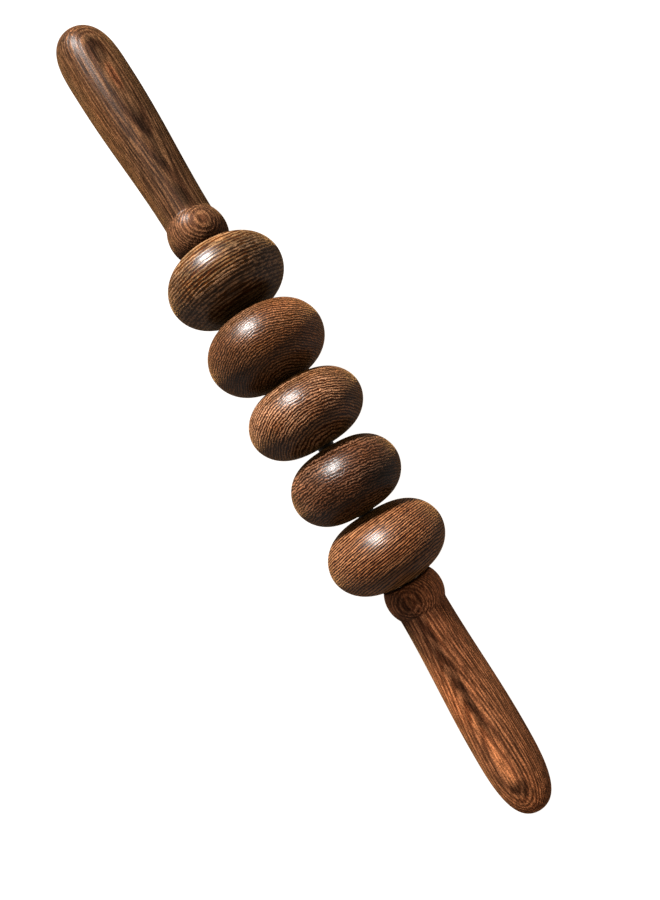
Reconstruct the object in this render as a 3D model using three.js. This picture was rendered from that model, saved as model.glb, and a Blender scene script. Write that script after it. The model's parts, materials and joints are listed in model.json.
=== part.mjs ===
// Five-roller wooden massager: two turned wooden handles joined by a steel axle, with five
// oblate wooden rollers that spin freely on the axle between the handles' ball-shaped collars.
//
// Frame: millimetres, +X along the axle from the left handle to the right one, +Z up. The
// origin lies on the axle, halfway between the two handle tips.
import * as THREE from 'three';

// Axle: a plain steel rod with a threaded end screwed into each handle.
const AXLE_RADIUS = 4.0;
const AXLE_GRIP_IN_HANDLE = 32.0;    // how deep each end of the axle sits in its handle
const AXLE_CHAMFER = 0.6;

// Threaded insert that anchors the axle in a handle.
const INSERT_RADIUS = 6.0;
const INSERT_LENGTH = 18.0;
const INSERT_FLANGE_RADIUS = 7.2;
const INSERT_FLANGE_THICKNESS = 1.2;

// Clearances between neighbouring pieces.
const SEAT_GAP = 0.3;                // between pieces that are fixed to each other
const RUNNING_GAP = 0.3;             // between the axle and a roller's bore
const COLLAR_GAP = 0.5;              // end play between a collar and the roller beside it

// Rollers, from left to right. They are turned by hand, so no two are quite alike.
const ROLLER_DIAMETERS = [56.4, 57.0, 56.4, 53.8, 57.6];
const ROLLER_WIDTHS = [33.2, 35.6, 33.8, 34.6, 35.4];
const ROLLER_SPACES = [1.2, 0.4, 1.3, 0.7];
const ROLLER_ROUNDNESS = 1.94;       // superellipse exponent along the axle
const ROLLER_FULLNESS = 2.9;         // superellipse exponent across the axle

// Handles: a ball-shaped collar, a neck, a swelling grip and a rounded tip.
const COLLAR_RADIUS = 14.1;
const NECK_RADIUS = 11.9;
const LEFT_HANDLE = {
  length: 115.0,
  collarCentre: 8.2,
  gripRadius: 14.5,
  gripPosition: 86.4,
  tipAlong: 4.3,                     // superellipse exponents of the rounded tip
  tipAcross: 2.8,
};
const RIGHT_HANDLE = {
  length: 119.6,
  collarCentre: 6.9,
  gripRadius: 14.0,
  gripPosition: 82.8,
  tipAlong: 2.9,
  tipAcross: 3.15,
};
const TIP_LEAN = 2.0;                // how far the tips bow sideways, towards -Y
const BOW_POWER = 1.5;               // how late along the handle the bow sets in

// Colours and finishes.
const HANDLE_COLOR = 0x62402c;
const HANDLE_ROUGHNESS = 0.55;
const ROLLER_COLORS = [0x4a3022, 0x57321f, 0x5a3c27, 0x3f271c, 0x6e4527];
const ROLLER_ROUGHNESS = 0.3;
const STEEL_COLOR = 0x8d8f91;
const STEEL_ROUGHNESS = 0.35;
const BRASS_COLOR = 0xb5924c;
const BRASS_ROUGHNESS = 0.4;

// Facets.
const ROUND_SEGMENTS = 36;
const HARDWARE_SEGMENTS = 24;
const ROLLER_STEPS = 16;
const COLLAR_STEPS = 6;
const GRIP_STEPS = 8;
const TIP_STEPS = 7;

const sum = (values) => values.reduce((total, value) => total + value, 0);
const STACK_LENGTH = sum(ROLLER_WIDTHS) + sum(ROLLER_SPACES) + 2 * COLLAR_GAP;
const TOTAL_LENGTH = LEFT_HANDLE.length + STACK_LENGTH + RIGHT_HANDLE.length;
const LEFT_FACE = -TOTAL_LENGTH / 2 + LEFT_HANDLE.length;      // where the left collar ends
const RIGHT_FACE = LEFT_FACE + STACK_LENGTH;                   // where the right collar starts

function wood(color, roughness) {
  return new THREE.MeshStandardMaterial({ color, roughness, metalness: 0 });
}

function metal(color, roughness) {
  return new THREE.MeshStandardMaterial({ color, roughness, metalness: 1 });
}

// A superellipse's half-width across, at `along` from its centre.
function superellipse(along, halfLength, halfWidth, alongPower, acrossPower) {
  const share = Math.min(1, Math.abs(along) / halfLength);
  return halfWidth * (1 - share ** alongPower) ** (1 / acrossPower);
}

// A named solid turned about the X axis. The outline is a list of [radius, x] points that
// starts and ends on the axis, or a closed ring of points where the piece has a through bore.
function turned(name, outline, segments, material) {
  const points = outline.map(([radius, x]) => new THREE.Vector2(radius, x));
  const geometry = new THREE.LatheGeometry(points, segments);
  geometry.rotateZ(-Math.PI / 2);
  const mesh = new THREE.Mesh(geometry, material);
  mesh.name = name;
  return mesh;
}

// The roller's outer profile meets its bore at both ends, so the faces beside the bore are
// nearly flat and the rim is full and round.
function roller(name, diameter, width, centre, material) {
  const radius = diameter / 2;
  const bore = AXLE_RADIUS + RUNNING_GAP;
  const boreAngle = Math.asin((bore / radius) ** (ROLLER_FULLNESS / 2));
  const outline = [];
  for (let step = 0; step <= ROLLER_STEPS; step += 1) {
    const angle = boreAngle + (Math.PI - 2 * boreAngle) * step / ROLLER_STEPS;
    const cosine = Math.cos(angle);
    const along = Math.sign(cosine) * Math.abs(cosine) ** (2 / ROLLER_ROUNDNESS) * width / 2;
    const across = Math.sin(angle) ** (2 / ROLLER_FULLNESS) * radius;
    outline.push([across, -along]);
  }
  outline.push([...outline[0]]);
  const mesh = turned(name, outline, ROUND_SEGMENTS, material);
  mesh.position.x = centre;
  return mesh;
}

// Distance from the collar's inner face to the crease where the neck starts.
function creaseAt(handle) {
  return handle.collarCentre + Math.sqrt(COLLAR_RADIUS ** 2 - NECK_RADIUS ** 2);
}

// The handle's outer profile, from the collar's inner face to the tip, as [radius, distance].
function handleProfile(handle) {
  const profile = [];
  const crease = creaseAt(handle);
  for (let step = 0; step <= COLLAR_STEPS; step += 1) {
    const along = crease * step / COLLAR_STEPS;
    profile.push([Math.sqrt(COLLAR_RADIUS ** 2 - (along - handle.collarCentre) ** 2), along]);
  }
  for (let step = 1; step <= GRIP_STEPS; step += 1) {
    const share = step / GRIP_STEPS;
    const swell = (1 - Math.cos(Math.PI * share)) / 2;
    const radius = NECK_RADIUS + (handle.gripRadius - NECK_RADIUS) * swell;
    profile.push([radius, crease + (handle.gripPosition - crease) * share]);
  }
  const tipLength = handle.length - handle.gripPosition;
  for (let step = 1; step < TIP_STEPS; step += 1) {
    const angle = Math.PI / 2 * step / TIP_STEPS;
    const share = Math.sin(angle) ** (2 / handle.tipAlong);
    const radius = superellipse(share, 1, handle.gripRadius, handle.tipAlong, handle.tipAcross);
    profile.push([radius, handle.gripPosition + tipLength * share]);
  }
  profile.push([0, handle.length]);
  return profile;
}

// The blind socket in the collar's face: a flange recess, the insert's pocket and the pilot
// hole for the end of the axle, as [radius, distance] from the bottom of the hole outwards.
function socketProfile() {
  const pilot = AXLE_RADIUS + SEAT_GAP;
  const pocket = INSERT_RADIUS + SEAT_GAP;
  const recess = INSERT_FLANGE_RADIUS + SEAT_GAP;
  const pilotDepth = AXLE_GRIP_IN_HANDLE + SEAT_GAP;
  const pocketDepth = SEAT_GAP + INSERT_LENGTH + SEAT_GAP;
  const recessDepth = SEAT_GAP + INSERT_FLANGE_THICKNESS + SEAT_GAP;
  return [
    [0, pilotDepth],
    [pilot, pilotDepth],
    [pilot, pocketDepth],
    [pocket, pocketDepth],
    [pocket, recessDepth],
    [recess, recessDepth],
    [recess, 0],
  ];
}

// Bows a handle sideways: nothing at the collar's face, the full lean at the tip.
function bow(geometry, length) {
  const positions = geometry.attributes.position;
  for (let index = 0; index < positions.count; index += 1) {
    const share = Math.abs(positions.getX(index)) / length;
    positions.setY(index, positions.getY(index) - TIP_LEAN * share ** BOW_POWER);
  }
  geometry.computeVertexNormals();
}

// A handle in one piece with its collar. `side` is -1 for the left handle, 1 for the right.
function handlePiece(name, handle, side, face, material) {
  let outline = [...socketProfile(), ...handleProfile(handle)];
  outline = outline.map(([radius, along]) => [radius, side * along]);
  if (side < 0) {
    outline.reverse();
  }
  const mesh = turned(name, outline, ROUND_SEGMENTS, material);
  bow(mesh.geometry, handle.length);
  mesh.position.x = face;
  return mesh;
}

function axle() {
  const start = LEFT_FACE - AXLE_GRIP_IN_HANDLE;
  const end = RIGHT_FACE + AXLE_GRIP_IN_HANDLE;
  const outline = [
    [0, start],
    [AXLE_RADIUS - AXLE_CHAMFER, start],
    [AXLE_RADIUS, start + AXLE_CHAMFER],
    [AXLE_RADIUS, end - AXLE_CHAMFER],
    [AXLE_RADIUS - AXLE_CHAMFER, end],
    [0, end],
  ];
  return turned('axle_rod', outline, HARDWARE_SEGMENTS, metal(STEEL_COLOR, STEEL_ROUGHNESS));
}

// The flanged insert sits in its handle's socket with its flange just below the collar's face.
function insert(name, side, face) {
  const bore = AXLE_RADIUS + SEAT_GAP;
  const flangeEnd = SEAT_GAP + INSERT_FLANGE_THICKNESS;
  let outline = [
    [bore, SEAT_GAP],
    [INSERT_FLANGE_RADIUS, SEAT_GAP],
    [INSERT_FLANGE_RADIUS, flangeEnd],
    [INSERT_RADIUS, flangeEnd],
    [INSERT_RADIUS, SEAT_GAP + INSERT_LENGTH],
    [bore, SEAT_GAP + INSERT_LENGTH],
    [bore, SEAT_GAP],
  ];
  outline = outline.map(([radius, along]) => [radius, side * along]);
  if (side < 0) {
    outline.reverse();
  }
  const brass = metal(BRASS_COLOR, BRASS_ROUGHNESS);
  const mesh = turned(name, outline, HARDWARE_SEGMENTS, brass);
  mesh.position.x = face;
  return mesh;
}

const handleWood = wood(HANDLE_COLOR, HANDLE_ROUGHNESS);
const massager = new THREE.Group();
massager.add(handlePiece('handle_left', LEFT_HANDLE, -1, LEFT_FACE, handleWood));
massager.add(handlePiece('handle_right', RIGHT_HANDLE, 1, RIGHT_FACE, handleWood));
massager.add(axle());
massager.add(insert('threaded_insert_left', -1, LEFT_FACE));
massager.add(insert('threaded_insert_right', 1, RIGHT_FACE));

let rollerStart = LEFT_FACE + COLLAR_GAP;
ROLLER_DIAMETERS.forEach((diameter, index) => {
  const width = ROLLER_WIDTHS[index];
  const centre = rollerStart + width / 2;
  const material = wood(ROLLER_COLORS[index], ROLLER_ROUGHNESS);
  massager.add(roller(`roller_${index + 1}`, diameter, width, centre, material));
  rollerStart += width + (ROLLER_SPACES[index] ?? 0);
});

export default massager;
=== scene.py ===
"""Looks of a five-roller wooden massager: turned wenge handles and rollers on a steel axle.

The handles and rollers are turned again here as fine meshes in the places that the CAD solids
hold, and each gets its own block of solid wenge. The massager lies on a pale glowing table and
is seen from straight above. Lengths are metres; the wood's pattern works in millimetres.
"""
import json
import math

import bpy
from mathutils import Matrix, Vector


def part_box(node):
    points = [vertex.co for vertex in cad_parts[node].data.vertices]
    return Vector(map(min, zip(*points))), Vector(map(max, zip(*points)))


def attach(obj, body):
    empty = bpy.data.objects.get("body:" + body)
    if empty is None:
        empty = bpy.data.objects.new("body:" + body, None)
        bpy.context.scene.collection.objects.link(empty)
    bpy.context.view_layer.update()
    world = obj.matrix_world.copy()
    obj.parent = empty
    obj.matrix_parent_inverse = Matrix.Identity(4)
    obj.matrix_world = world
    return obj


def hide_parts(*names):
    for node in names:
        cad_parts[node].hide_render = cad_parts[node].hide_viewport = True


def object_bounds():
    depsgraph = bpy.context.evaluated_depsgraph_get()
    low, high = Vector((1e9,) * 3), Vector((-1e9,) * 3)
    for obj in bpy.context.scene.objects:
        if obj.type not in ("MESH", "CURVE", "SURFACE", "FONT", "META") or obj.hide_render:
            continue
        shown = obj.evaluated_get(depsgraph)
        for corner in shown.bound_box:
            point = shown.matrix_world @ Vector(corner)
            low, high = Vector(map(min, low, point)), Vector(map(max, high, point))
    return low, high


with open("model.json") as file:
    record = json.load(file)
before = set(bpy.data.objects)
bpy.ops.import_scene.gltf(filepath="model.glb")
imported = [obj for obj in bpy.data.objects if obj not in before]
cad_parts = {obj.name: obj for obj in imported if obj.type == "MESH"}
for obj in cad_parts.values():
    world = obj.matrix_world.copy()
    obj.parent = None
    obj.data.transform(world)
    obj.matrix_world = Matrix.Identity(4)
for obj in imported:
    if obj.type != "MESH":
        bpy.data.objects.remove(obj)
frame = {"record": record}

CAD_LOW, CAD_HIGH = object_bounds()

# ---------------------------------------------------------------- shapes shared with the CAD
COLLAR_RADIUS = 0.0141
NECK_RADIUS = 0.0119
# collar, grip: how far the ball's centre and the thickest part of the grip lie from the collar's
# inner face. tip: the exponents of the superellipse that rounds the end.
LEFT_SHAPE = {"collar": 0.0082, "grip_radius": 0.0145, "grip": 0.0864, "tip": (4.3, 2.8)}
RIGHT_SHAPE = {"collar": 0.0069, "grip_radius": 0.0140, "grip": 0.0828, "tip": (2.9, 3.15)}
TIP_LEAN = 0.0020                  # how far a handle's tip bows sideways
BOW_POWER = 1.5                    # how late along the handle the bow sets in
ROLLER_ROUNDNESS = 1.94            # superellipse exponent along the axle
ROLLER_FULLNESS = 2.9              # superellipse exponent across the axle
ROLLER_BORE = 0.0043
AXLE_RADIUS = 0.0040
AXLE_CHAMFER = 0.0006
AXLE_GRIP_IN_HANDLE = 0.032
INSERT_RADIUS = 0.0060
INSERT_LENGTH = 0.018
INSERT_FLANGE_RADIUS = 0.0072
INSERT_FLANGE_THICKNESS = 0.0012
SEAT_GAP = 0.0003

# ---------------------------------------------------------------- details that the CAD leaves out
ROLLER_CHAMFER = 0.0004            # where a roller's bore meets its faces
CREASE_FILLET = 0.0007             # on each side of the crease between collar and neck
CREASE_DROP = 0.00002              # how far the crease's corner lies below the neck
THREAD_TURNS = 20                  # of rolled thread on each end of the axle
THREAD_PITCH = 0.00125
THREAD_DEPTH = 0.00035
INSERT_BARBS = 8
BARB_DEPTH = 0.0006
BARB_RISE = 0.8                    # share of a barb's length over which it rises

# ---------------------------------------------------------------- how fine the meshes are
ROUND_SEGMENTS = 160
HARDWARE_SEGMENTS = 64
ROLLER_STEPS = 96
COLLAR_STEPS = 28
CREASE_STEPS = 6
GRIP_STEPS = 70
TIP_STEPS = 40
SHARP_ANGLE = 35.0                 # degrees; edges sharper than this stay crisp


# ---------------------------------------------------------------- meshes
def mesh_object(name, vertices, faces):
    mesh = bpy.data.meshes.new(name)
    mesh.from_pydata(vertices, [], faces)
    mesh.validate()
    mesh.update()
    piece = bpy.data.objects.new(name, mesh)
    bpy.context.scene.collection.objects.link(piece)
    return piece


def revolve(name, outline, segments, closed_ring):
    """Turns an outline of (x, radius) points about the X axis. A closed ring joins its last
    point to its first, and otherwise both ends lie on the axis."""
    vertices, faces, rows = [], [], []
    for x, radius in outline:
        if radius == 0.0:
            rows.append([len(vertices)])
            vertices.append((x, 0.0, 0.0))
            continue
        rows.append(list(range(len(vertices), len(vertices) + segments)))
        for step in range(segments):
            angle = 2 * math.pi * step / segments
            vertices.append((x, -radius * math.sin(angle), radius * math.cos(angle)))
    pairs = list(zip(rows, rows[1:])) + ([(rows[-1], rows[0])] if closed_ring else [])
    for before, after in pairs:
        for step in range(segments):
            following = (step + 1) % segments
            if len(before) == 1:
                faces.append((before[0], after[following], after[step]))
            elif len(after) == 1:
                faces.append((before[step], before[following], after[0]))
            else:
                faces.append((before[step], before[following], after[following], after[step]))
    return mesh_object(name, vertices, faces)


def superellipse(share, power_along, power_across):
    """How wide a superellipse of unit width is at this share of its half length."""
    return max(0.0, 1 - share ** power_along) ** (1 / power_across)


def roller_mesh(name, low, high):
    """The roller's full round rim and nearly flat faces, with a small chamfer at the bore."""
    centre = (low.x + high.x) / 2
    radius = (high.z - low.z) / 2
    face = (high.x - low.x) / 2
    pole = face / superellipse(ROLLER_BORE / radius, ROLLER_FULLNESS, ROLLER_ROUNDNESS)
    bore_angle = math.asin(((ROLLER_BORE + ROLLER_CHAMFER) / radius) ** (ROLLER_FULLNESS / 2))
    outline = []
    for step in range(ROLLER_STEPS + 1):
        angle = bore_angle + (math.pi - 2 * bore_angle) * step / ROLLER_STEPS
        cosine = math.cos(angle)
        along = math.copysign(abs(cosine) ** (2 / ROLLER_ROUNDNESS), cosine) * pole
        outline.append((centre - along, math.sin(angle) ** (2 / ROLLER_FULLNESS) * radius))
    outline.append((centre + face - ROLLER_CHAMFER, ROLLER_BORE))
    outline.append((centre - face + ROLLER_CHAMFER, ROLLER_BORE))
    return revolve(name, outline, ROUND_SEGMENTS, closed_ring=True)


def collar_points(shape, end):
    """The ball-shaped collar, from its inner face to just before the crease."""
    points = []
    for step in range(COLLAR_STEPS + 1):
        along = end * step / COLLAR_STEPS
        points.append((along, math.sqrt(COLLAR_RADIUS ** 2 - (along - shape["collar"]) ** 2)))
    return points


def crease_points(start, corner, end):
    """The points between start and end on a curve that bends towards the corner."""
    points = []
    for step in range(1, CREASE_STEPS):
        share = step / CREASE_STEPS
        points.append(tuple((1 - share) ** 2 * a + 2 * share * (1 - share) * b + share ** 2 * c
                            for a, b, c in zip(start, corner, end)))
    return points


def handle_outline(shape, length):
    """The handle's (distance, radius) points from the collar's inner face to the tip."""
    crease = shape["collar"] + math.sqrt(COLLAR_RADIUS ** 2 - NECK_RADIUS ** 2)

    def grip_radius(along):
        share = (along - crease) / (shape["grip"] - crease)
        return NECK_RADIUS + (shape["grip_radius"] - NECK_RADIUS) * (1 - math.cos(math.pi * share)) / 2

    points = collar_points(shape, crease - CREASE_FILLET)
    neck = (crease + CREASE_FILLET, grip_radius(crease + CREASE_FILLET))
    points += crease_points(points[-1], (crease, NECK_RADIUS - CREASE_DROP), neck)
    for step in range(GRIP_STEPS + 1):
        along = neck[0] + (shape["grip"] - neck[0]) * step / GRIP_STEPS
        points.append((along, grip_radius(along)))
    tip = length - shape["grip"]
    for step in range(1, TIP_STEPS):
        share = math.sin(math.pi / 2 * step / TIP_STEPS) ** (2 / shape["tip"][0])
        points.append((shape["grip"] + tip * share,
                       shape["grip_radius"] * superellipse(share, *shape["tip"])))
    points.append((length, 0.0))
    return points


def socket_outline():
    """The blind socket for the insert and the end of the axle, from its bottom outwards."""
    bottom = AXLE_GRIP_IN_HANDLE + SEAT_GAP
    pocket = 2 * SEAT_GAP + INSERT_LENGTH
    recess = 2 * SEAT_GAP + INSERT_FLANGE_THICKNESS
    return [(bottom, 0.0), (bottom, AXLE_RADIUS + SEAT_GAP),
            (pocket, AXLE_RADIUS + SEAT_GAP), (pocket, INSERT_RADIUS + SEAT_GAP),
            (recess, INSERT_RADIUS + SEAT_GAP), (recess, INSERT_FLANGE_RADIUS + SEAT_GAP),
            (0.0, INSERT_FLANGE_RADIUS + SEAT_GAP)]


def handle_mesh(name, shape, face, side, length):
    """A handle from its collar's inner face, at x = face, towards side, bowed at the tip."""
    outline = socket_outline() + handle_outline(shape, length)
    outline = [(face + side * along, radius) for along, radius in outline]
    if side < 0:
        outline.reverse()
    piece = revolve(name, outline, ROUND_SEGMENTS, closed_ring=False)
    for vertex in piece.data.vertices:
        vertex.co.y -= TIP_LEAN * (abs(vertex.co.x - face) / length) ** BOW_POWER
    return piece


def axle_mesh(name, low, high):
    """A ground rod with a rolled thread at each end, hidden in the handles."""
    outline = [(low.x, 0.0), (low.x, AXLE_RADIUS - AXLE_CHAMFER)]
    thread = low.x + AXLE_CHAMFER
    for turn in range(THREAD_TURNS):
        start = thread + turn * THREAD_PITCH
        outline += [(start, AXLE_RADIUS - THREAD_DEPTH), (start + THREAD_PITCH / 2, AXLE_RADIUS)]
    outline.append((thread + THREAD_TURNS * THREAD_PITCH, AXLE_RADIUS))
    outline += [(high.x + low.x - x, radius) for x, radius in reversed(outline)]
    return revolve(name, outline, HARDWARE_SEGMENTS, closed_ring=False)


def insert_mesh(name, low, high, side):
    """A flanged insert with saw-tooth barbs round its body."""
    inner = AXLE_RADIUS + SEAT_GAP
    start, end = (low.x, high.x) if side > 0 else (high.x, low.x)
    flange = start + side * INSERT_FLANGE_THICKNESS
    outline = [(start, inner), (start, INSERT_FLANGE_RADIUS), (flange, INSERT_FLANGE_RADIUS)]
    pitch = (end - flange) / INSERT_BARBS
    for barb in range(INSERT_BARBS):
        outline += [(flange + pitch * barb, INSERT_RADIUS - BARB_DEPTH),
                    (flange + pitch * (barb + BARB_RISE), INSERT_RADIUS)]
    outline += [(end, INSERT_RADIUS - BARB_DEPTH), (end, inner)]
    if side < 0:
        outline.reverse()
    return revolve(name, outline, HARDWARE_SEGMENTS, closed_ring=True)


# ---------------------------------------------------------------- material nodes
class Graph:
    """Short names for the nodes that the materials use."""

    def __init__(self, name):
        self.material = bpy.data.materials.new(name)
        self.material.use_nodes = True
        self.nodes = self.material.node_tree.nodes
        self.links = self.material.node_tree.links
        self.shader = self.nodes["Principled BSDF"]

    def put(self, socket, value):
        if isinstance(value, bpy.types.NodeSocket):
            self.links.new(value, socket)
        else:
            socket.default_value = value

    def fill(self, node, values):
        for socket, value in zip(node.inputs, values):
            self.put(socket, value)
        return node.outputs[0]

    def place(self):
        """The point of the surface in the object's own axes."""
        return self.nodes.new("ShaderNodeTexCoord").outputs["Object"]

    def math(self, operation, *values):
        node = self.nodes.new("ShaderNodeMath")
        node.operation = operation
        return self.fill(node, values)

    def length(self, first, second):
        """The length of the flat vector (first, second)."""
        squares = (self.math("POWER", value, 2.0) for value in (first, second))
        return self.math("SQRT", self.math("ADD", *squares))

    def vector(self, operation, first, second):
        node = self.nodes.new("ShaderNodeVectorMath")
        node.operation = operation
        self.fill(node, (first, second))
        return node.outputs["Value" if operation == "DOT_PRODUCT" else "Vector"]

    def join(self, x, y, z):
        return self.fill(self.nodes.new("ShaderNodeCombineXYZ"), (x, y, z))

    def noise(self, vector, detail, roughness=0.5, scale=1.0):
        node = self.nodes.new("ShaderNodeTexNoise")
        self.put(node.inputs["Vector"], vector)
        node.inputs["Scale"].default_value = scale
        node.inputs["Detail"].default_value = detail
        node.inputs["Roughness"].default_value = roughness
        return node.outputs["Fac"]

    def ramp(self, value, low, high):
        """Rises smoothly from 0 to 1 while the value goes from low to high."""
        node = self.nodes.new("ShaderNodeMapRange")
        node.interpolation_type = "SMOOTHSTEP"
        return self.fill(node, (value, low, high))

    def mix(self, factor, first, second, blend="MIX"):
        node = self.nodes.new("ShaderNodeMix")
        node.data_type, node.blend_type = "RGBA", blend
        for index, value in ((0, factor), (6, first), (7, second)):
            self.put(node.inputs[index], value)
        return node.outputs[2]

    def bump(self, height, strength, distance):
        node = self.nodes.new("ShaderNodeBump")
        node.inputs["Strength"].default_value = strength
        node.inputs["Distance"].default_value = distance
        self.put(node.inputs["Height"], height)
        return node.outputs[0]


def unit(*values):
    return Vector(values).normalized()


def colour(red, green, blue):
    """An sRGB colour given in 0 to 255, as the linear colour that a shader takes."""
    linear = [(c / 255 / 12.92) if c / 255 <= 0.04045 else ((c / 255 + 0.055) / 1.055) ** 2.4
              for c in (red, green, blue)]
    return (*linear, 1.0)


# ---------------------------------------------------------------- wenge
MM_PER_METRE = 1000
SEED_STEP = 37.0                   # how far apart two seeds' patterns lie in the noise
SEED_SHARES = (1.0, 0.7, 0.3)      # of that distance, out from the pith, across and along
PAIR_RATE = 0.413                  # a slower wave makes the pale layers uneven
PAIR_HEIGHT = 0.35
GROUP_SCALES = (0.12, 0.03, 0.014)     # groups of layers that share a colour
SMOKE_SCALES = (0.09, 0.05, 0.02)      # dark clouds
GLOW_SCALES = (0.11, 0.11, 0.03)       # warm clouds
CLOUD_STRETCH = 0.05               # share of a piece's stretch added to its clouds' scale along
RAGGED_SCALE = 0.3                 # the uneven edges of patches
DRIFT_ROUGHNESS = 0.55
PORE_RAMP = (0.38, 0.62)
STREAK_RAMP = (0.40, 0.60)
GROUP_RAMP = (0.38, 0.62)
SMOKE_RAMP = (0.46, 0.66)
GLOW_RAMP = (0.50, 0.70)
PATCH_RAMP = (1.4, 0.4)            # in half sizes of a patch, from its outer edge inwards
RIDGE_SOFTNESS = 0.4
STREAK_RELIEF = 0.3
PORE_RELIEF = 0.3
RELIEF_DEPTH = 0.00015
PALE_GLOSS = 0.08                  # how much smoother the pale layers are
STREAK_GLOSS = 0.06
COAT_IOR = 4.0
SHEEN_ROUGHNESS = 0.3
SHEEN_TINT = (1.0, 0.52, 0.17, 1.0)


class WengeBlock(Graph):
    """A block of solid wenge that a piece is turned from. Pale layers alternate with dark ones
    round a pith that lies outside the piece. Places in it are millimetres from a centre: out
    from the pith, across, and along the fibres, and x and y in the object's own axes."""

    def __init__(self, name, centre, look):
        super().__init__(name)
        self.look = look
        fibre = look["fibre"]
        ring = (look["ring"] - fibre * look["ring"].dot(fibre)).normalized()
        axes = (ring, fibre.cross(ring), fibre, unit(1.0, 0.0, 0.0), unit(0.0, 1.0, 0.0))
        place = self.vector("SUBTRACT", self.place(), tuple(centre))
        self.out, self.across, self.along, self.x, self.y = (
            self.vector("DOT_PRODUCT", place, tuple(axis * MM_PER_METRE)) for axis in axes)
        self.offset = look["seed"] * SEED_STEP

    def grain(self, scales, detail=2.0, roughness=0.5):
        """Noise whose scales, in features per millimetre, differ along the block's three axes."""
        places = (self.out, self.across, self.along)
        spread = self.join(*(self.math("MULTIPLY_ADD", place, scale, self.offset * share)
                             for place, scale, share in zip(places, scales, SEED_SHARES)))
        return self.noise(spread, detail, roughness)

    def stretched(self, scale):
        """The same scale out and across, and a smaller one along the fibres."""
        return scale, scale, scale * self.look["stretch"]

    def depth(self):
        """How deep below the bark a point lies, with the layers' bends and jags."""
        pith = self.look["pith"]
        from_pith = self.length(self.math("ADD", self.out, pith), self.across)
        depth = self.math("SUBTRACT", from_pith, pith)
        bend = self.math("POWER", self.along, 2.0)
        depth = self.math("MULTIPLY_ADD", bend, self.look["bow"], depth)
        for scale, height in self.look["warps"]:
            drift = self.math("SUBTRACT", self.grain(self.stretched(scale)), 0.5)
            depth = self.math("MULTIPLY_ADD", drift, height, depth)
        return depth

    def level(self, depth):
        """A wave whose crests are the pale layers, uneven in width and broken into dashes."""
        look = self.look
        phase = self.math("MULTIPLY", depth, 2 * math.pi / look["spacing"])
        line = self.math("SINE", phase)
        pair = self.math("SINE", self.math("MULTIPLY", phase, PAIR_RATE))
        dash_out, dash_across = look["dash"]
        dash = self.noise(self.join(self.math("MULTIPLY_ADD", depth, dash_out, self.offset),
                                    self.math("MULTIPLY", self.across, dash_across),
                                    self.math("MULTIPLY", self.along, dash_out * look["stretch"])),
                          2.0, DRIFT_ROUGHNESS)
        level = self.math("MULTIPLY_ADD", line, look["regular"], 0.5)
        level = self.math("MULTIPLY_ADD", pair, look["regular"] * PAIR_HEIGHT, level)
        return self.math("MULTIPLY_ADD", self.math("SUBTRACT", dash, 0.5), look["broken"], level)

    def cloud(self, scales, ramp, detail, roughness):
        """A slow drift of colour through the block."""
        out, across, along = scales
        scales = (out, across, along + CLOUD_STRETCH * self.look["stretch"])
        return self.ramp(self.grain(scales, detail, roughness), *ramp)

    def layers(self, depth, pale):
        """The colours of the dark and pale layers, in groups and under clouds."""
        look = self.look
        scale_out, scale_across, scale_along = GROUP_SCALES
        spread = self.join(self.math("MULTIPLY_ADD", depth, scale_out, self.offset),
                           self.math("MULTIPLY", self.across, scale_across),
                           self.math("MULTIPLY_ADD", self.along, scale_along, self.offset))
        group = self.ramp(self.noise(spread, 2.0, DRIFT_ROUGHNESS), *GROUP_RAMP)
        smoke = self.cloud(SMOKE_SCALES, SMOKE_RAMP, 3.0, DRIFT_ROUGHNESS)
        glow = self.cloud(GLOW_SCALES, GLOW_RAMP, 2.0, 0.5)
        dark = self.mix(group, look["dark"], look["dark_group"])
        light = self.mix(group, look["light"], look["light_group"])
        light = self.mix(self.math("MULTIPLY", glow, look["glow"]), light, look["glow_colour"])
        tone = self.mix(pale, dark, light)
        return self.mix(self.math("MULTIPLY", smoke, look["smoke"]), tone, look["smoke_colour"])

    def patches(self, tone):
        """The same colours with the look's ragged oval patches tinted: some are the wood's own marks, some
        are painted light and shade.
        """
        ragged = self.math("SUBTRACT", self.grain(self.stretched(RAGGED_SCALE)), 0.5)
        for x, y, half_length, half_width, tint in self.look["patches"]:
            away = self.length(
                self.math("MULTIPLY_ADD", self.x, 1 / half_length, -x / half_length),
                self.math("MULTIPLY_ADD", self.y, 1 / half_width, -y / half_width))
            share = self.ramp(self.math("ADD", away, ragged), *PATCH_RAMP)
            tone = self.mix(share, tone, (*tint, 1.0), "MULTIPLY")
        return tone

    def shade(self, streak, pore):
        """How bright the wood is, with its fine streaks and pores."""
        streaks, pores, brightness = (self.look[key] for key in ("streak", "pores", "brightness"))
        shade = self.math("MULTIPLY_ADD", streak, streaks * 2 * brightness, (1 - streaks) * brightness)
        pitted = self.math("MULTIPLY_ADD", pore, pores * 2, 1 - pores)
        shade = self.math("MULTIPLY", shade, pitted)
        return self.join(shade, shade, shade)


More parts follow.
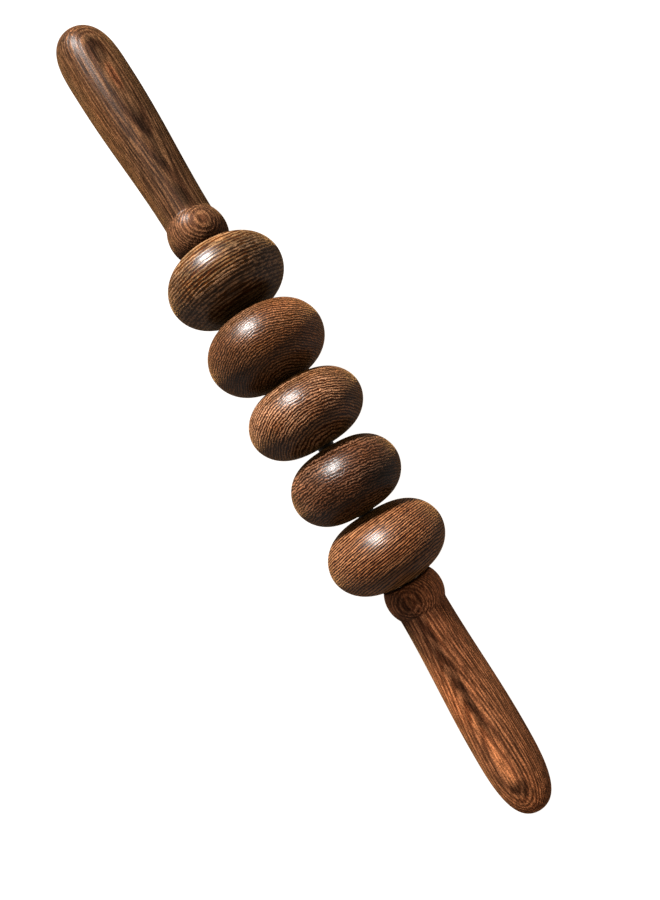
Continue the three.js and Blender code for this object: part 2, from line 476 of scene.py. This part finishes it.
def wenge(name, centre, look):
    """Oiled and thinly lacquered wenge, with a relief that follows its layers and pores."""
    block = WengeBlock(name, centre, look)
    depth = block.depth()
    level = block.level(depth)
    pale = block.ramp(level, look["cut"] - look["soft"], look["cut"] + look["soft"])
    pore = block.ramp(block.grain((look["pore_scale"],) * 3), *PORE_RAMP)
    streak_scales = (look["streak_scale"], look["streak_scale"], look["streak_length"])
    streak = block.ramp(block.grain(streak_scales), *STREAK_RAMP)
    tone = block.patches(block.layers(depth, pale))
    tone = block.mix(1.0, tone, block.shade(streak, pore), "MULTIPLY")
    ridge = block.ramp(level, look["cut"] - RIDGE_SOFTNESS, look["cut"] + RIDGE_SOFTNESS)
    relief = block.math("MULTIPLY_ADD", pore, PORE_RELIEF, ridge)
    relief = block.math("MULTIPLY_ADD", streak, STREAK_RELIEF, relief)
    gloss = block.math("MULTIPLY_ADD", streak, -STREAK_GLOSS, look["roughness"])

    inputs = block.shader.inputs
    block.put(inputs["Base Color"], tone)
    block.put(inputs["Roughness"], block.math("MULTIPLY_ADD", pale, -PALE_GLOSS, gloss))
    block.put(inputs["Normal"], block.bump(relief, look["relief"], RELIEF_DEPTH))
    block.put(inputs["Coat Normal"], block.bump(relief, look["coat_relief"], RELIEF_DEPTH))
    inputs["Coat Weight"].default_value = look["coat"]
    inputs["Coat Roughness"].default_value = look["coat_roughness"]
    inputs["Coat IOR"].default_value = COAT_IOR
    inputs["Specular IOR Level"].default_value = 0.0
    inputs["Sheen Weight"].default_value = look["sheen"]
    inputs["Sheen Roughness"].default_value = SHEEN_ROUGHNESS
    inputs["Sheen Tint"].default_value = SHEEN_TINT
    return block.material


# ---------------------------------------------------------------- metal
METAL_LINES = 900.0                # across the lines, in features per metre
METAL_RELIEF = 0.25
METAL_RELIEF_DEPTH = 0.00003
STAIN_SCALE = 160.0
STAIN_RAMP = (0.35, 0.7)
STAIN_STRENGTH = 0.35
STAIN_DARKNESS = 0.55


def metal(name, tint, roughness, along_scale):
    """Turned or drawn metal, with fine lines round or along it and a little tarnish."""
    graph = Graph(name)
    place = graph.place()
    stretched = graph.vector("MULTIPLY", place, (along_scale, METAL_LINES, METAL_LINES))
    lines = graph.noise(stretched, 3.0, 0.6)
    stain = graph.ramp(graph.noise(place, 3.0, scale=STAIN_SCALE), *STAIN_RAMP)
    stained = (*(channel * STAIN_DARKNESS for channel in tint[:3]), 1.0)
    inputs = graph.shader.inputs
    graph.put(inputs["Base Color"], graph.mix(graph.math("MULTIPLY", stain, STAIN_STRENGTH), tint, stained))
    graph.put(inputs["Roughness"], graph.math("MULTIPLY_ADD", lines, METAL_RELIEF, roughness))
    graph.put(inputs["Normal"], graph.bump(lines, METAL_RELIEF, METAL_RELIEF_DEPTH))
    inputs["Metallic"].default_value = 1.0
    return graph.material


# ---------------------------------------------------------------- each piece's wood
# fibre, ring: directions of the fibres and out from the pith, in the object's own axes.
# pith: distance from the centre to the pith. bow: how the layers bend along the fibres.
# stretch: the scale of the layers' bends along the fibres, as a share of the scale across them.
# warps: (scale, height) of the layers' bends. spacing: from one pale layer to the next.
# dash, regular, broken: how the pale layers break up. cut, soft: how wide and sharp they are.
# patches: (x, y, half length, half width, tint), from a roller's centre or a handle's face. Some are the
# wood's own marks and some are painted light and shade, noted at each look.
# Lengths are millimetres and scales are features per millimetre.
ROLLER_WOOD = {
    "bow": 0.0, "stretch": 0.2, "warps": ((0.04, 3.0), (0.2, 1.6), (0.6, 1.2)),
    "dash": (1.1, 0.4), "regular": 0.5, "broken": 1.2, "cut": 0.5, "soft": 0.05,
    "streak": 0.35, "streak_scale": 1.3, "streak_length": 0.15, "pores": 0.3, "pore_scale": 1.5,
    "patches": (), "dark": colour(66, 26, 0), "dark_group": colour(60, 25, 0),
    "glow": 0.4, "glow_colour": colour(160, 92, 46), "smoke_colour": colour(52, 25, 3),
    "relief": 1.4, "coat_relief": 0.3, "roughness": 0.6,
    "coat": 0.0265, "coat_roughness": 0.33, "sheen": 0.12,
}
HANDLE_WOOD = {
    "pith": 45.0, "bow": 0.0, "stretch": 0.04, "warps": ((0.05, 2.0), (0.3, 0.8), (1.0, 0.4)),
    "spacing": 0.8, "dash": (1.6, 1.2), "regular": 0.45, "broken": 0.5, "cut": 0.5, "soft": 0.3,
    "streak": 0.45, "streak_scale": 1.6, "streak_length": 0.1, "pores": 0.35, "pore_scale": 1.7,
    "glow": 0.3, "smoke": 0.2, "smoke_colour": colour(42, 31, 23),
    "relief": 1.0, "coat_relief": 0.25, "roughness": 0.62,
    "coat": 0.007, "coat_roughness": 0.34, "sheen": 0.03,
}
DUSK = (0.4, 0.42, 0.46)


def handle_left_wood():
    """Brown, with dark smudges in a row along the top and a collar made paler by painted light."""
    return {
        **HANDLE_WOOD, "fibre": unit(1.0, 0.0, -0.012), "ring": unit(0.0, 0.37, 0.93),
        "seed": 1.3, "brightness": 0.26,
        "dark": colour(78, 47, 27), "dark_group": colour(70, 44, 28),
        "light": colour(112, 76, 48), "light_group": colour(102, 70, 46),
        "glow_colour": colour(130, 78, 44),
        "patches": ((-22.0, 2.6, 7.0, 2.2, DUSK), (-41.0, 2.6, 6.0, 2.0, DUSK),
                    (-58.0, 3.8, 12.0, 1.8, DUSK), (-95.0, 3.8, 8.0, 2.6, DUSK),
                    (-82.0, 4.4, 7.0, 1.8, (1.6, 1.3, 1.2)),
                    # This last oval is painted light that brightens and greys the collar.
                    (-8.0, 0.0, 8.0, 14.0, (1.9, 1.8, 1.8))),
    }


def handle_right_wood():
    """Redder, with a dark streak along the neck and a glowing oval on the grip; painted light brightens the
    collar and, in part, the whole handle.
    """
    return {
        **HANDLE_WOOD, "fibre": unit(1.0, 0.0, -0.02), "ring": unit(0.0, -0.36, 0.93),
        # This brightness is partly the redder wood and partly painted light that makes up for the key light
        # being dimmer here than at the left handle.
        "seed": 2.6, "brightness": 0.47,
        "dark": colour(106, 58, 32), "dark_group": colour(92, 54, 33),
        "light": colour(152, 94, 58), "light_group": colour(142, 89, 56),
        "glow_colour": colour(170, 100, 60),
        # The first oval is painted light that brightens and greys the collar.
        "patches": ((7.0, 0.0, 9.0, 14.0, (2.3, 2.4, 2.6)), (36.0, -4.3, 26.0, 3.6, DUSK),
                    (16.0, -9.0, 24.0, 6.0, DUSK), (22.0, 3.0, 26.0, 14.0, (0.66, 0.66, 0.7)),
                    (102.0, -4.3, 4.0, 5.0, DUSK), (62.0, -3.6, 16.0, 1.6, DUSK),
                    (85.0, -5.0, 13.0, 3.0, (1.7, 1.6, 1.5))),
    }


def roller_1_wood():
    """Dark brown with long, uneven tan streaks."""
    return {
        **ROLLER_WOOD, "fibre": unit(-0.05, 1.0, 0.0), "ring": unit(0.965, 0.05, -0.26),
        "pith": 400.0, "bow": -0.0025, "seed": 3.1, "spacing": 1.45, "stretch": 0.1,
        "warps": ((0.04, 1.6), (0.25, 1.2), (0.9, 0.7)), "dash": (0.6, 0.5),
        "streak": 0.45, "regular": 0.34, "broken": 1.7, "soft": 0.08, "brightness": 0.245,
        "glow": 0.15, "smoke": 0.2, "dark": colour(68, 37, 4),
        "light": colour(142, 106, 78), "light_group": colour(110, 80, 50),
        # The second and third ovals are painted light that brightens the roller's face across the middle
        # and left of it.
        "patches": ((-1.0, 18.0, 6.0, 9.0, (0.7, 0.72, 0.75)),
                    (6.0, -3.0, 9.0, 18.0, (1.6, 1.55, 1.5)),
                    (-10.0, 0.0, 5.0, 20.0, (1.6, 1.65, 1.7)),
                    (1.0, -22.0, 12.0, 7.0, (0.75, 0.72, 0.68))),
    }


def roller_2_wood():
    """Reddish brown with fine arcs round the right face."""
    return {
        **ROLLER_WOOD, "fibre": unit(0.1, 0.0, 0.99), "ring": unit(-0.99, -0.03, 0.1),
        "pith": 32.0, "seed": 4.2, "spacing": 1.05, "regular": 0.6, "brightness": 0.28,
        "glow": 0.15, "smoke": 0.3, "dark": colour(58, 28, 2),
        "light": colour(138, 92, 62), "light_group": colour(130, 82, 50),
        # The first oval is a warm painted glow beside the highlight, the second is painted shade on the
        # key-lit left, and the third is painted light on the right, which lies in the next roller's shade.
        "patches": ((-8.0, 10.0, 6.0, 8.0, (1.2, 1.1, 1.0)),
                    (-11.0, -2.0, 7.0, 16.0, (0.72, 0.78, 0.86)),
                    (12.0, 2.0, 8.0, 16.0, (1.45, 1.55, 1.6)),
                    (4.0, 22.0, 14.0, 8.0, (1.35, 1.3, 1.2)),
                    (0.0, -18.0, 16.0, 9.0, (0.62, 0.58, 0.54))),
    }


def roller_3_wood():
    """Mid-brown with tan arcs round the right face."""
    return {
        **ROLLER_WOOD, "fibre": unit(-0.05, 0.0, 1.0), "ring": unit(-0.99, -0.1, 0.0),
        "pith": 38.0, "seed": 5.7, "spacing": 1.2, "cut": 0.47, "brightness": 0.265,
        "smoke": 0.4, "light": colour(190, 138, 102), "light_group": colour(150, 104, 70),
        # The third oval is painted light on the right, which lies in the next roller's shade, and the
        # fourth is painted shade on the key-lit left.
        "patches": ((0.0, 22.0, 16.0, 8.0, (0.7, 0.65, 0.58)),
                    (2.0, -20.0, 16.0, 8.0, (0.72, 0.66, 0.6)),
                    (10.0, 2.0, 7.0, 16.0, (1.15, 1.1, 1.05)),
                    (-11.0, 0.0, 5.0, 16.0, (0.8, 0.82, 0.84))),
    }


def roller_4_wood():
    """Very dark, with wavy, broken lines and a smoky corner."""
    return {
        **ROLLER_WOOD, "fibre": unit(0.05, 0.0, 1.0), "ring": unit(-0.99, 0.05, 0.05),
        "pith": 70.0, "seed": 6.4, "spacing": 1.25, "regular": 0.6, "brightness": 0.15,
        "warps": ((0.04, 3.5), (0.22, 2.0), (0.55, 1.8)),
        "glow": 0.2, "smoke": 0.4, "dark": colour(48, 18, 0),
        "light": colour(172, 120, 88), "light_group": colour(136, 86, 58),
        # The second oval is painted light on the right, which lies in the last roller's shade.
        "patches": ((5.0, 14.0, 7.0, 9.0, DUSK), (11.0, -2.0, 6.0, 14.0, (1.5, 1.45, 1.3)),
                    (-2.0, -20.0, 14.0, 7.0, (1.2, 1.1, 1.0))),
    }


def roller_5_wood():
    """Orange-brown with strong, straight, slanting lines."""
    return {
        **ROLLER_WOOD, "fibre": unit(-0.16, 1.0, 0.1), "ring": unit(0.98, 0.16, 0.1),
        "pith": 400.0, "seed": 7.9, "spacing": 1.1, "stretch": 0.1, "dash": (0.9, 0.9),
        "broken": 0.9, "warps": ((0.035, 2.5), (0.25, 1.0), (0.9, 0.6)), "cut": 0.45,
        "pores": 0.1, "smoke": 0.2, "brightness": 0.178, "relief": 1.8,
        "dark": colour(58, 14, 0), "dark_group": colour(56, 15, 0),
        "light": colour(214, 146, 98), "light_group": colour(186, 120, 76),
    }


# ---------------------------------------------------------------- the object
BODY_OF = {node: body for body, nodes in frame["record"]["behaviour"]["bodies"].items()
           for node in nodes}


def finish_piece(piece, material, node):
    """Gives a piece its material and material slot, smooth shading and body, and hides its CAD part."""
    piece.data.materials.append(material)
    piece.data.shade_smooth()
    piece.data.set_sharp_from_angle(angle=math.radians(SHARP_ANGLE))
    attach(piece, BODY_OF[node])
    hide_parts(node)


def rollers():
    woods = (roller_1_wood, roller_2_wood, roller_3_wood, roller_4_wood, roller_5_wood)
    for index, wood in enumerate(woods, start=1):
        node = f"roller_{index}"
        low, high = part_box(node)
        piece = roller_mesh(f"{node}_wood", low, high)
        finish_piece(piece, wenge(f"wenge_{node}", (low + high) / 2, wood()), node)


def handles():
    for side, node, shape, wood in ((-1, "handle_left", LEFT_SHAPE, handle_left_wood),
                                    (1, "handle_right", RIGHT_SHAPE, handle_right_wood)):
        low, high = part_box(node)
        face = high.x if side < 0 else low.x
        piece = handle_mesh(f"{node}_wood", shape, face, side, high.x - low.x)
        finish_piece(piece, wenge(f"wenge_{node}", Vector((face, 0, 0)), wood()), node)


def axle():
    steel = metal("drawn_steel", colour(50, 46, 42), roughness=0.4, along_scale=40.0)
    finish_piece(axle_mesh("axle_rod_steel", *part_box("axle_rod")), steel, "axle_rod")


def inserts():
    brass = metal("turned_brass", colour(190, 158, 96), roughness=0.3, along_scale=1500.0)
    for side, node in ((-1, "threaded_insert_left"), (1, "threaded_insert_right")):
        finish_piece(insert_mesh(f"{node}_brass", *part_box(node), side), brass, node)


# ---------------------------------------------------------------- table, lights and camera
TABLE_HALF_SIZE = 6.0
TABLE_TONE = (0.03, 0.03, 0.03, 1.0)
TABLE_ROUGHNESS = 0.9
TABLE_GLOW = 1.09
TABLE_GLOW_COLOUR = (1.0, 0.96, 0.92, 1.0)
SKY_COLOUR = (1.0, 0.89, 0.76, 1.0)
SKY_HORIZON = 0.75                 # brightness below the lower of the two heights
SKY_ZENITH = 0.35                  # and above the higher one
SKY_HEIGHTS = (0.1, 0.85)          # as the sine of the angle above level
KEY_DIRECTION = unit(-0.84, -0.13, 0.52)
KEY_DISTANCE = 1.0
KEY_SIZE = 0.18
KEY_POWER = 80.0
KEY_COLOUR = (1.0, 0.985, 0.965)
CAMERA_HEIGHT = 0.299              # above the axle
CAMERA_ALONG = 0.032               # the point of the axle straight below the lens
SHAFT_SLOPE = 58.93                # degrees that the axle falls in the picture, left to right
SENSOR_HEIGHT = 36.0               # mm
FOCAL_LENGTH = 26.0                # mm
SHIFT_X = -0.017444                # shares of the picture's height
SHIFT_Y = 0.032611
NEAREST_SEEN = 0.01


def table():
    """A matt table that glows as a light box does."""
    x, y, z = TABLE_HALF_SIZE, TABLE_HALF_SIZE, CAD_LOW.z
    top = mesh_object("table_top", [(-x, -y, z), (x, -y, z), (x, y, z), (-x, y, z)], [(0, 1, 2, 3)])
    graph = Graph("glowing_acrylic")
    inputs = graph.shader.inputs
    inputs["Base Color"].default_value = TABLE_TONE
    inputs["Roughness"].default_value = TABLE_ROUGHNESS
    inputs["Specular IOR Level"].default_value = 0.0
    inputs["Emission Color"].default_value = TABLE_GLOW_COLOUR
    inputs["Emission Strength"].default_value = TABLE_GLOW
    top.data.materials.append(graph.material)


def sky():
    """A studio that is dim overhead and paler towards its walls."""
    world = bpy.data.worlds.new("studio")
    bpy.context.scene.world = world
    world.use_nodes = True
    nodes, links = world.node_tree.nodes, world.node_tree.links
    place = nodes.new("ShaderNodeTexCoord")
    height = nodes.new("ShaderNodeSeparateXYZ")
    links.new(place.outputs["Generated"], height.inputs[0])
    strength = nodes.new("ShaderNodeMapRange")
    strength.interpolation_type = "SMOOTHSTEP"
    for socket, value in zip(list(strength.inputs)[1:5], (*SKY_HEIGHTS, SKY_HORIZON, SKY_ZENITH)):
        socket.default_value = value
    links.new(height.outputs["Z"], strength.inputs[0])
    links.new(strength.outputs[0], nodes["Background"].inputs["Strength"])
    nodes["Background"].inputs["Color"].default_value = SKY_COLOUR


def key_light():
    """A small round softbox, low beyond the left handle."""
    data = bpy.data.lights.new("key_softbox", "AREA")
    data.shape, data.size, data.energy = "DISK", KEY_SIZE, KEY_POWER
    data.color = KEY_COLOUR
    lamp = bpy.data.objects.new("key_softbox", data)
    lamp.location = KEY_DIRECTION * KEY_DISTANCE
    lamp.rotation_euler = (-KEY_DIRECTION).to_track_quat("-Z", "Y").to_euler()
    bpy.context.scene.collection.objects.link(lamp)


def camera():
    """A camera that looks straight down, turned so that the axle slopes across the picture."""
    data = bpy.data.cameras.new("camera")
    data.sensor_fit = "VERTICAL"
    data.sensor_width = data.sensor_height = SENSOR_HEIGHT
    data.lens = FOCAL_LENGTH
    data.shift_x, data.shift_y = SHIFT_X, SHIFT_Y
    data.clip_start = NEAREST_SEEN
    viewer = bpy.data.objects.new("camera", data)
    viewer.location = (CAMERA_ALONG, 0.0, CAMERA_HEIGHT)
    viewer.rotation_euler = (0.0, 0.0, math.radians(SHAFT_SLOPE))
    bpy.context.scene.collection.objects.link(viewer)
    bpy.context.scene.camera = viewer


rollers()
handles()
axle()
inserts()
table()
sky()
key_light()
camera()
bpy.context.scene.view_settings.view_transform = "Standard"
